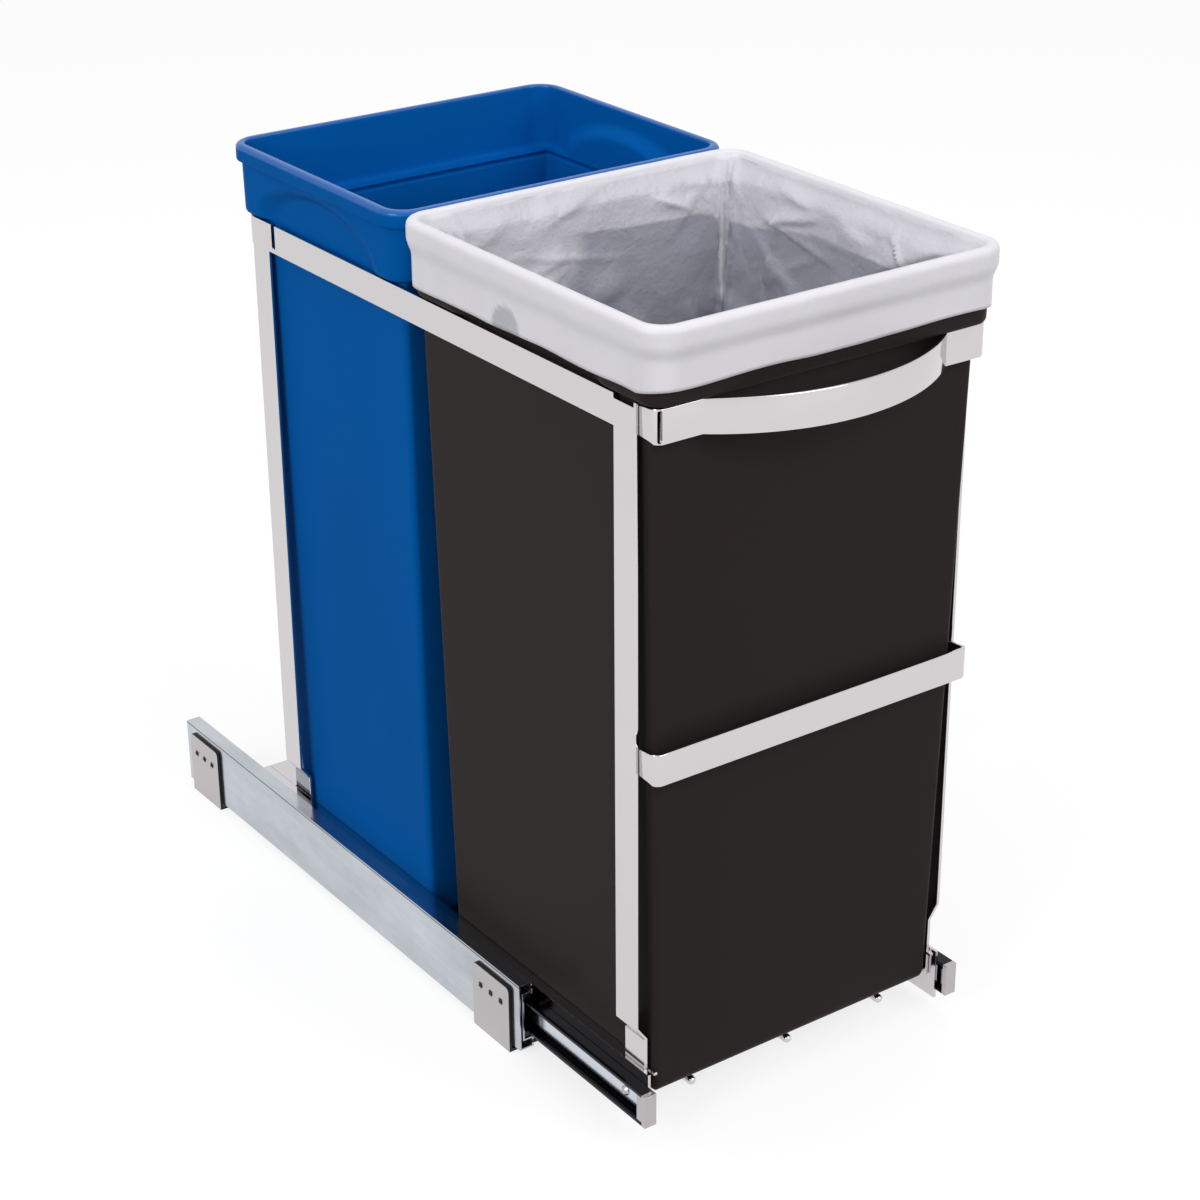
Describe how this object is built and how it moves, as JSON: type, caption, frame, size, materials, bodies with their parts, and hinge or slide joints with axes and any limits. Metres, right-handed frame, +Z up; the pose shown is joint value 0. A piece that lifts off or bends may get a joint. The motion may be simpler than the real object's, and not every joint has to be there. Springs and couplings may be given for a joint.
{
  "type": "pull-out trash cabinet",
  "caption": "Pull-out waste unit: a chromed strap frame with a bow handle rides on telescopic floor-mounted slides and carries lift-out bins, the front one lined.",
  "frame": {"origin": "middle of the outline seen from above, on the cabinet floor under the brackets", "axes": "+Z up, -Y towards the handle and the person pulling it, +Y into the cabinet, +X to the right seen from the front"},
  "size_m": [0.241, 0.5506, 0.4801],
  "materials": {
    "chromed_steel": "bright chrome plating",
    "zinc_steel": "bright zinc plating",
    "nickel_steel": "satin nickel plating",
    "ball_steel": "polished steel",
    "black_plastic": "moulded black",
    "bin_black": "fine-grained black polypropylene",
    "bin_blue": "fine-grained blue polypropylene",
    "liner_film": "thin white polyethylene film"
  },
  "bodies": {
    "fixed_rails": {"outer_rail_left": "zinc_steel", "outer_rail_right": "zinc_steel", "floor_bracket_left_front": "nickel_steel", "floor_bracket_left_rear": "nickel_steel", "floor_bracket_right_front": "nickel_steel", "floor_bracket_right_rear": "nickel_steel"},
    "carriage": {"inner_rail_left": "zinc_steel", "rail_end_cap_left": "nickel_steel", "rail_rivet_left_front": "nickel_steel", "rail_rivet_left_middle": "nickel_steel", "rail_rivet_left_rear": "nickel_steel", "side_frame_left": "chromed_steel", "lower_rail_left": "chromed_steel", "inner_rail_right": "zinc_steel", "rail_end_cap_right": "nickel_steel", "rail_rivet_right_front": "nickel_steel", "rail_rivet_right_middle": "nickel_steel", "rail_rivet_right_rear": "nickel_steel", "side_frame_right": "chromed_steel", "lower_rail_right": "chromed_steel", "rear_tie": "chromed_steel", "cross_strip_front": "chromed_steel", "cross_strip_middle": "chromed_steel", "cross_strip_rear": "chromed_steel", "floor_wire_left": "chromed_steel", "floor_wire_middle": "chromed_steel", "floor_wire_right": "chromed_steel", "handle_strap": "chromed_steel", "belly_strap": "chromed_steel", "back_strap": "chromed_steel"},
    "mid_rail_left": {"mid_rail_left": "zinc_steel", "mid_rail_bumper_left": "black_plastic"},
    "outer_cage_left": {"outer_ball_cage_left": "ball_steel"},
    "inner_cage_left": {"inner_ball_cage_left": "ball_steel"},
    "mid_rail_right": {"mid_rail_right": "zinc_steel", "mid_rail_bumper_right": "black_plastic"},
    "outer_cage_right": {"outer_ball_cage_right": "ball_steel"},
    "inner_cage_right": {"inner_ball_cage_right": "ball_steel"},
    "front_bin": {"front_bin": "bin_black", "bin_liner": "liner_film"},
    "rear_bin": {"rear_bin": "bin_blue"}
  },
  "joints": [
    {"name": "carriage_slide", "type": "slide", "parent": "fixed_rails", "child": "carriage", "axis": [0, -1, 0], "range_m": [-0.116, 0.29]},
    {"name": "mid_rail_left_slide", "type": "slide", "parent": "fixed_rails", "child": "mid_rail_left", "axis": [0, -1, 0], "range_m": [-0.058, 0.145]},
    {"name": "outer_cage_left_slide", "type": "slide", "parent": "fixed_rails", "child": "outer_cage_left", "axis": [0, -1, 0], "range_m": [-0.029, 0.0725]},
    {"name": "inner_cage_left_slide", "type": "slide", "parent": "fixed_rails", "child": "inner_cage_left", "axis": [0, -1, 0], "range_m": [-0.087, 0.2175]},
    {"name": "mid_rail_right_slide", "type": "slide", "parent": "fixed_rails", "child": "mid_rail_right", "axis": [0, -1, 0], "range_m": [-0.058, 0.145]},
    {"name": "outer_cage_right_slide", "type": "slide", "parent": "fixed_rails", "child": "outer_cage_right", "axis": [0, -1, 0], "range_m": [-0.029, 0.0725]},
    {"name": "inner_cage_right_slide", "type": "slide", "parent": "fixed_rails", "child": "inner_cage_right", "axis": [0, -1, 0], "range_m": [-0.087, 0.2175]},
    {"name": "front_bin_lift", "type": "slide", "parent": "carriage", "child": "front_bin", "axis": [0, 0, 1], "range_m": [0, 0.46]},
    {"name": "rear_bin_lift", "type": "slide", "parent": "carriage", "child": "rear_bin", "axis": [0, 0, 1], "range_m": [0, 0.46]}
  ],
  "couplings": [
    {"joint": "mid_rail_left_slide", "follows": "carriage_slide", "ratio": 0.5},
    {"joint": "outer_cage_left_slide", "follows": "carriage_slide", "ratio": 0.25},
    {"joint": "inner_cage_left_slide", "follows": "carriage_slide", "ratio": 0.75},
    {"joint": "mid_rail_right_slide", "follows": "carriage_slide", "ratio": 0.5},
    {"joint": "outer_cage_right_slide", "follows": "carriage_slide", "ratio": 0.25},
    {"joint": "inner_cage_right_slide", "follows": "carriage_slide", "ratio": 0.75}
  ]
}
